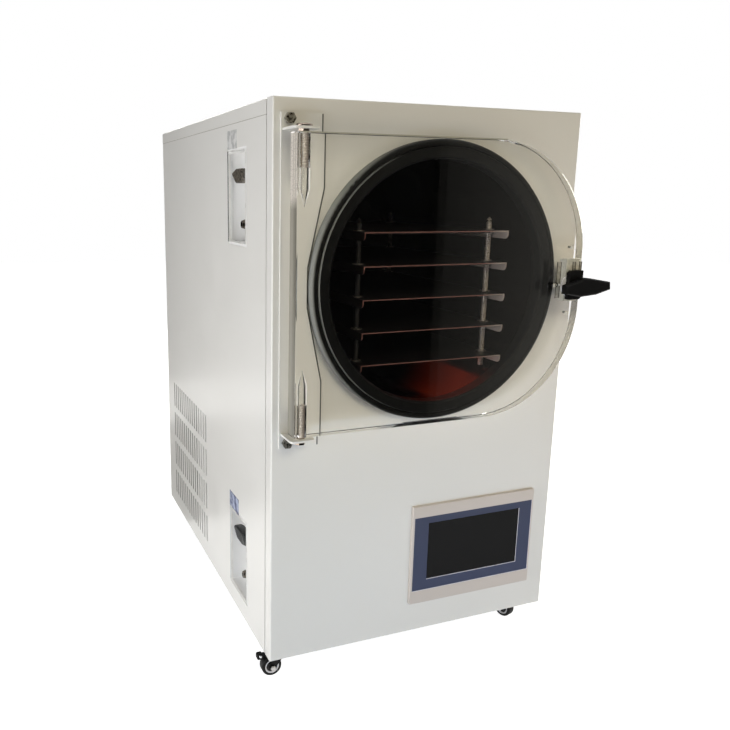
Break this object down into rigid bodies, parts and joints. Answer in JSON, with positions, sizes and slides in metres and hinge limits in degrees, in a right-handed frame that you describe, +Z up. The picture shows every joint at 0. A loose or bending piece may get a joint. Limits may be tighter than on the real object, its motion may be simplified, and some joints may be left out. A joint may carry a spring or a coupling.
{
  "type": "freeze dryer",
  "caption": "Floor-standing freeze dryer with a round vacuum chamber, a clear hinged door, a shelf rack, side hose pockets, louvred sides and an operator panel on castors.",
  "frame": {"origin": "on the floor, under the middle of the bounding box", "axes": "+X to the right seen from the front, +Y towards the back, +Z up; the door is on the -Y side"},
  "size_m": [0.5271, 0.7373, 0.85],
  "materials": {
    "powder_coat": "semi-gloss warm white powder coat",
    "galvanised_steel": "galvanised sheet",
    "chamber_steel": "polished stainless steel",
    "gasket_rubber": "satin moulded rubber",
    "copper_tube": "drawn copper",
    "shelf_steel": "satin stainless sheet",
    "heater_silicone": "orange silicone",
    "zinc_steel": "bright zinc plate",
    "door_acrylic": "clear polished acrylic",
    "chrome_plate": "bright chrome",
    "latch_black": "satin black enamel on zinc casting",
    "panel_alloy": "champagne anodised",
    "panel_navy": "navy printed film",
    "screen_glass": "black display glass",
    "housing_plastic": "moulded grain",
    "pocket_paint": "white powder coat",
    "valve_brass": "nickelled brass",
    "knob_plastic": "black moulded",
    "castor_zinc": "bright zinc plate",
    "castor_black": "black enamel",
    "wheel_rubber": "black rubber",
    "compressor_enamel": "black enamel",
    "fin_aluminium": "mill finish",
    "shroud_steel": "black enamel",
    "fan_plastic": "black moulded"
  },
  "bodies": {
    "cabinet": {"front_fascia": "powder_coat", "left_side_panel": "powder_coat", "right_side_panel": "powder_coat", "rear_panel": "powder_coat", "top_cover": "powder_coat", "hinge_plate": "powder_coat", "base_tray": "galvanised_steel", "inner_frame": "galvanised_steel", "chamber_vessel": "chamber_steel", "door_gasket": "gasket_rubber", "cold_coil": "copper_tube", "vacuum_pipe": "copper_tube", "drain_pipe": "copper_tube", "shelf_1": "shelf_steel", "shelf_2": "shelf_steel", "shelf_3": "shelf_steel", "shelf_4": "shelf_steel", "shelf_5": "shelf_steel", "heater_mats": "heater_silicone", "rack_posts": "zinc_steel", "hinge_bolts": "zinc_steel", "pivot_bolts": "zinc_steel", "pivot_nuts": "zinc_steel", "latch_strike": "zinc_steel", "panel_frame": "panel_alloy", "panel_bezel": "panel_navy", "panel_screen": "screen_glass", "panel_housing": "housing_plastic", "power_inlet": "housing_plastic", "upper_pocket": "pocket_paint", "lower_pocket": "pocket_paint", "vacuum_valve": "valve_brass", "drain_valve": "valve_brass", "castor_plates": "castor_zinc", "compressor": "compressor_enamel", "condenser": "fin_aluminium", "fan_shroud": "shroud_steel"},
    "door": {"door_panel": "door_acrylic", "hinge_sleeves": "zinc_steel", "latch_case": "zinc_steel", "latch_base": "latch_black", "latch_escutcheon": "chrome_plate", "latch_screws": "chrome_plate"},
    "latch": {"latch_lever": "latch_black", "latch_spindle": "zinc_steel", "latch_cam": "zinc_steel"},
    "vacuum_handle": {"vacuum_knob": "knob_plastic"},
    "drain_handle": {"drain_knob": "knob_plastic"},
    "fan": {"fan_rotor": "fan_plastic"},
    "rocker": {"power_rocker": "housing_plastic"},
    "castor_1": {"castor_fork_1": "castor_black"},
    "wheel_1": {"castor_wheel_1": "wheel_rubber"},
    "brake_1": {"castor_brake_1": "knob_plastic"},
    "castor_2": {"castor_fork_2": "castor_black"},
    "wheel_2": {"castor_wheel_2": "wheel_rubber"},
    "brake_2": {"castor_brake_2": "knob_plastic"},
    "castor_3": {"castor_fork_3": "castor_black"},
    "wheel_3": {"castor_wheel_3": "wheel_rubber"},
    "castor_4": {"castor_fork_4": "castor_black"},
    "wheel_4": {"castor_wheel_4": "wheel_rubber"}
  },
  "joints": [
    {"name": "door_hinge", "type": "hinge", "parent": "cabinet", "child": "door", "pos_m": [-0.2243, -0.3345, 0.605], "axis": [0, 0, -1], "range_deg": [0, 170]},
    {"name": "latch_turn", "type": "hinge", "parent": "door", "child": "latch", "pos_m": [0.2041, -0.322, 0.597], "axis": [0, 1, 0], "range_deg": [0, 90]},
    {"name": "vacuum_handle_turn", "type": "hinge", "parent": "cabinet", "child": "vacuum_handle", "pos_m": [-0.225, -0.15, 0.754], "axis": [1, 0, 0], "range_deg": [0, 90]},
    {"name": "drain_handle_turn", "type": "hinge", "parent": "cabinet", "child": "drain_handle", "pos_m": [-0.225, -0.15, 0.178], "axis": [1, 0, 0], "range_deg": [0, 90]},
    {"name": "castor_swivel_1", "type": "hinge", "parent": "cabinet", "child": "castor_1", "pos_m": [-0.227, -0.268, 0.045], "axis": [0, 0, 1], "continuous": true},
    {"name": "wheel_spin_1", "type": "hinge", "parent": "castor_1", "child": "wheel_1", "pos_m": [-0.241, -0.268, 0.016], "axis": [0, 1, 0], "continuous": true},
    {"name": "brake_press_1", "type": "hinge", "parent": "castor_1", "child": "brake_1", "pos_m": [-0.2347, -0.268, 0.035], "axis": [0, -1, 0], "range_deg": [0, 5]},
    {"name": "castor_swivel_2", "type": "hinge", "parent": "cabinet", "child": "castor_2", "pos_m": [0.209, -0.268, 0.045], "axis": [0, 0, 1], "continuous": true},
    {"name": "wheel_spin_2", "type": "hinge", "parent": "castor_2", "child": "wheel_2", "pos_m": [0.20467, -0.25468, 0.016], "axis": [0.9511, 0.309, 0], "continuous": true},
    {"name": "brake_press_2", "type": "hinge", "parent": "castor_2", "child": "brake_2", "pos_m": [0.20662, -0.26068, 0.035], "axis": [-0.9511, -0.309, 0], "range_deg": [0, 5]},
    {"name": "castor_swivel_3", "type": "hinge", "parent": "cabinet", "child": "castor_3", "pos_m": [-0.227, 0.329, 0.045], "axis": [0, 0, 1], "continuous": true},
    {"name": "wheel_spin_3", "type": "hinge", "parent": "castor_3", "child": "wheel_3", "pos_m": [-0.213, 0.329, 0.016], "axis": [0, -1, 0], "continuous": true},
    {"name": "castor_swivel_4", "type": "hinge", "parent": "cabinet", "child": "castor_4", "pos_m": [0.209, 0.329, 0.045], "axis": [0, 0, 1], "continuous": true},
    {"name": "wheel_spin_4", "type": "hinge", "parent": "castor_4", "child": "wheel_4", "pos_m": [0.22216, 0.32421, 0.016], "axis": [-0.342, -0.9397, 0], "continuous": true},
    {"name": "fan_spin", "type": "hinge", "parent": "cabinet", "child": "fan", "pos_m": [-0.189, 0.1765, 0.20175], "axis": [1, 0, 0], "continuous": true},
    {"name": "rocker_tip", "type": "hinge", "parent": "cabinet", "child": "rocker", "pos_m": [0.108, 0.3585, 0.135], "axis": [1, 0, 0], "range_deg": [0, 9]}
  ]
}
